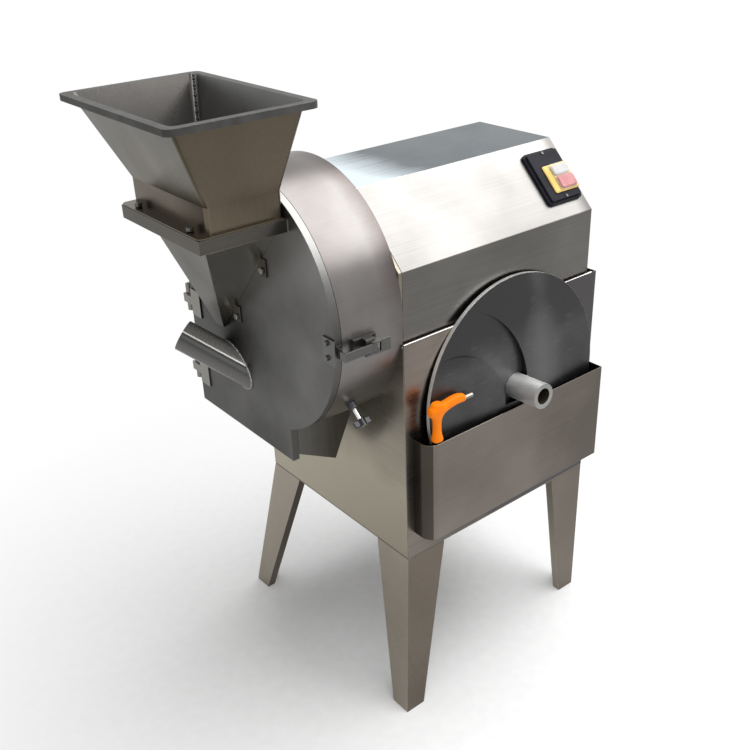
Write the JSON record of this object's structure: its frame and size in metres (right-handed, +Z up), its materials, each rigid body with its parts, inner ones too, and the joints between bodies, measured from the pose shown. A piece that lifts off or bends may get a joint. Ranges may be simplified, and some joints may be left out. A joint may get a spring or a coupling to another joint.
{
  "type": "root vegetable dicer",
  "caption": "Stainless root vegetable dicer: sheet cabinet on splayed legs, side cutting drum with hinged hopper cover, oblique feed tube, switch box and front pocket with spare rotor.",
  "frame": {"origin": "centre of the overall box, on the floor", "axes": "+Z up; -X towards the drum and hopper; -Y towards the operator, the pocket and the switch"},
  "size_m": [0.901, 0.6262, 1.264],
  "materials": {
    "satin_steel": "brushed",
    "bright_steel": "satin bright",
    "hopper_steel": "brushed warm",
    "cover_steel": "matt",
    "rotor_metal": "cast satin",
    "cast_iron": "matt",
    "bronze": "turned",
    "motor_paint": "satin paint",
    "belt_rubber": "matt",
    "black_plastic": "satin",
    "yellow_plastic": "gloss",
    "red_plastic": "gloss",
    "green_plastic": "gloss",
    "orange_plastic": "satin gloss"
  },
  "bodies": {
    "cabinet": {"base_pan": "satin_steel", "mount_plate": "satin_steel", "front_panel": "satin_steel", "rear_panel": "satin_steel", "end_panel": "satin_steel", "hood": "bright_steel", "leg_front_drum": "satin_steel", "leg_rear_drum": "satin_steel", "leg_front_end": "satin_steel", "leg_rear_end": "satin_steel", "pocket": "satin_steel", "drum_shell": "bright_steel", "knife_holder": "cover_steel", "slicing_knife": "bright_steel", "bearing_housing": "cast_iron", "bearing_front": "bright_steel", "bearing_rear": "bright_steel", "strip_bush": "bronze", "cross_bush": "bronze", "motor_mount": "cast_iron", "motor": "motor_paint", "drive_belt": "belt_rubber", "cutter_belt": "belt_rubber", "switch_box": "black_plastic", "switch_screws": "bright_steel", "latch_base": "satin_steel", "knob_boss": "satin_steel", "hinge_fixed": "satin_steel", "hinge_pins": "bright_steel"},
    "cover": {"cover_plate": "cover_steel", "hopper": "hopper_steel", "funnel": "hopper_steel", "feed_tube": "bright_steel", "hinge_moving": "satin_steel", "keeper": "bright_steel", "hopper_bolts": "bright_steel", "lug_bolts": "bright_steel"},
    "rotor": {"main_shaft": "bright_steel", "rotor": "rotor_metal", "rotor_bolt": "bright_steel", "driven_pulley": "cast_iron", "cutter_drive_pulley": "cast_iron"},
    "strip_shaft": {"strip_spindle": "bright_steel", "strip_knives": "bright_steel", "strip_pulley": "cast_iron"},
    "cross_shaft": {"cross_spindle": "bright_steel", "cross_pulley": "cast_iron"},
    "motor_rotor": {"motor_shaft": "bright_steel", "motor_pulley": "cast_iron"},
    "latch_lever": {"latch_lever": "bright_steel"},
    "latch_link": {"latch_link": "bright_steel"},
    "lock_knob": {"lock_knob": "cast_iron"},
    "switch_flap": {"switch_flap": "yellow_plastic"},
    "stop_pad": {"stop_pad": "red_plastic"},
    "start_button": {"start_button": "green_plastic"},
    "stop_button": {"stop_button": "red_plastic"},
    "spare_rotor": {"spare_rotor": "rotor_metal"},
    "hex_key": {"key_handle": "orange_plastic", "key_shank": "bright_steel"}
  },
  "joints": [
    {"name": "cover_swing", "type": "hinge", "parent": "cabinet", "child": "cover", "pos_m": [-0.2175, 0.3051, 0.723], "axis": [0, 0, -1], "range_deg": [0, 110]},
    {"name": "rotor_spin", "type": "hinge", "parent": "cabinet", "child": "rotor", "pos_m": [-0.1035, 0.0341, 0.8755], "axis": [1, 0, 0], "continuous": true},
    {"name": "strip_spin", "type": "hinge", "parent": "cabinet", "child": "strip_shaft", "pos_m": [-0.1035, 0.2181, 0.6555], "axis": [1, 0, 0], "continuous": true},
    {"name": "cross_spin", "type": "hinge", "parent": "cabinet", "child": "cross_shaft", "pos_m": [-0.1035, 0.1451, 0.6215], "axis": [1, 0, 0], "continuous": true},
    {"name": "motor_spin", "type": "hinge", "parent": "cabinet", "child": "motor_rotor", "pos_m": [0.1645, 0.0341, 0.468], "axis": [1, 0, 0], "continuous": true},
    {"name": "latch_lever_turn", "type": "hinge", "parent": "cabinet", "child": "latch_lever", "pos_m": [-0.1655, -0.2309, 0.861], "axis": [0, 0, -1], "range_deg": [0, 110]},
    {"name": "latch_link_turn", "type": "hinge", "parent": "latch_lever", "child": "latch_link", "pos_m": [-0.1595, -0.24091, 0.861], "axis": [0, 0, -1], "range_deg": [-135, 0]},
    {"name": "lock_knob_turn", "type": "hinge", "parent": "cabinet", "child": "lock_knob", "pos_m": [-0.1555, 0.0341, 0.8755], "axis": [0, -0.766, -0.6428], "range_deg": [-180, 180]},
    {"name": "switch_flap_lift", "type": "hinge", "parent": "cabinet", "child": "switch_flap", "pos_m": [0.3895, -0.13837, 1.0539], "axis": [-1, 0, 0], "range_deg": [0, 100]},
    {"name": "stop_pad_press", "type": "slide", "parent": "switch_flap", "child": "stop_pad", "axis": [0, 0.7128, -0.7013], "range_m": [0, 0.0016], "stiffness_N_per_m": 600},
    {"name": "start_press", "type": "slide", "parent": "cabinet", "child": "start_button", "axis": [0, 0.7128, -0.7013], "range_m": [0, 0.002], "stiffness_N_per_m": 300},
    {"name": "stop_press", "type": "slide", "parent": "cabinet", "child": "stop_button", "axis": [0, 0.7128, -0.7013], "range_m": [0, 0.002], "stiffness_N_per_m": 300},
    {"name": "spare_lift", "type": "slide", "parent": "cabinet", "child": "spare_rotor", "axis": [0, 0.061, 0.9981], "range_m": [0, 0.21]},
    {"name": "key_lift", "type": "slide", "parent": "cabinet", "child": "hex_key", "axis": [0, 0, 1], "range_m": [0, 0.22]}
  ],
  "couplings": [
    {"joint": "motor_spin", "follows": "rotor_spin", "ratio": 2.4444},
    {"joint": "strip_spin", "follows": "rotor_spin", "ratio": 2},
    {"joint": "cross_spin", "follows": "rotor_spin", "ratio": 2},
    {"joint": "latch_link_turn", "follows": "latch_lever_turn", "ratio": -1.2}
  ]
}
